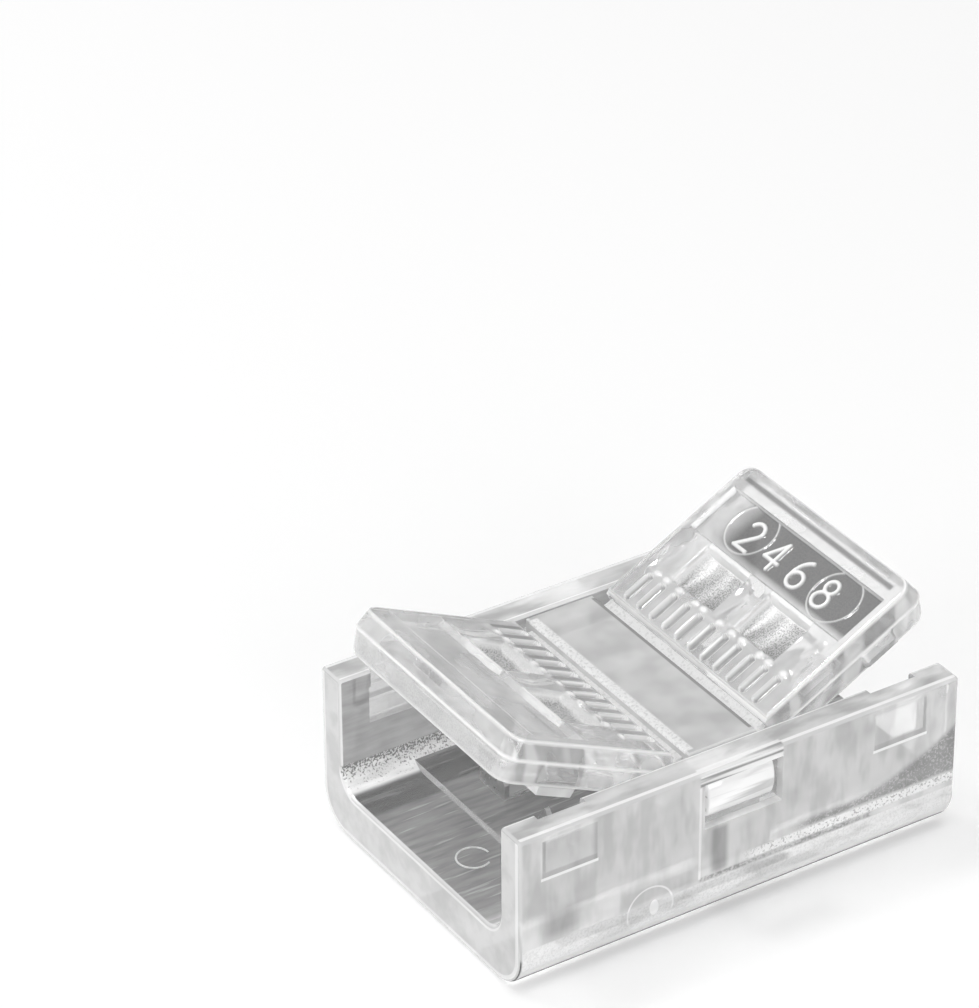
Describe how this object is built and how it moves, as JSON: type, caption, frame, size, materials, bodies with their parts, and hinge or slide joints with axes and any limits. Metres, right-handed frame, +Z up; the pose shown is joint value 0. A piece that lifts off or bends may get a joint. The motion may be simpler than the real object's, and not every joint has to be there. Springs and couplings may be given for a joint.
{
  "type": "led strip connector",
  "caption": "Clear clip connector that joins narrow light strips end to end: channel tray, snap-in bridge cover, hinged flaps and toothed contact strips.",
  "frame": {"origin": "centre of the tray's underside", "axes": "+X along the strips, +Y across the channel, +Z up out of the open side"},
  "size_m": [0.0186, 0.013, 0.0099],
  "materials": {
    "clear_tray": "clear, polished, glossy",
    "clear_cover": "clear, polished, with frosted recesses",
    "tinned_metal": "bright tin plate"
  },
  "bodies": {
    "housing": {"base_tray": "clear_tray", "bridge_cover": "clear_cover", "left_hinge_film": "clear_cover", "right_hinge_film": "clear_cover", "near_contact_strip": "tinned_metal", "far_contact_strip": "tinned_metal"},
    "left_flap": {"left_flap": "clear_cover"},
    "right_flap": {"right_flap": "clear_cover"}
  },
  "joints": [
    {"name": "left_flap_hinge", "type": "hinge", "parent": "housing", "child": "left_flap", "pos_m": [-0.00175, 0, 0.006], "axis": [0, 1, 0], "range_deg": [-25, 55], "deforming": ["left_hinge_film"]},
    {"name": "right_flap_hinge", "type": "hinge", "parent": "housing", "child": "right_flap", "pos_m": [0.00175, 0, 0.006], "axis": [0, -1, 0], "range_deg": [-28, 52], "deforming": ["right_hinge_film"]}
  ]
}
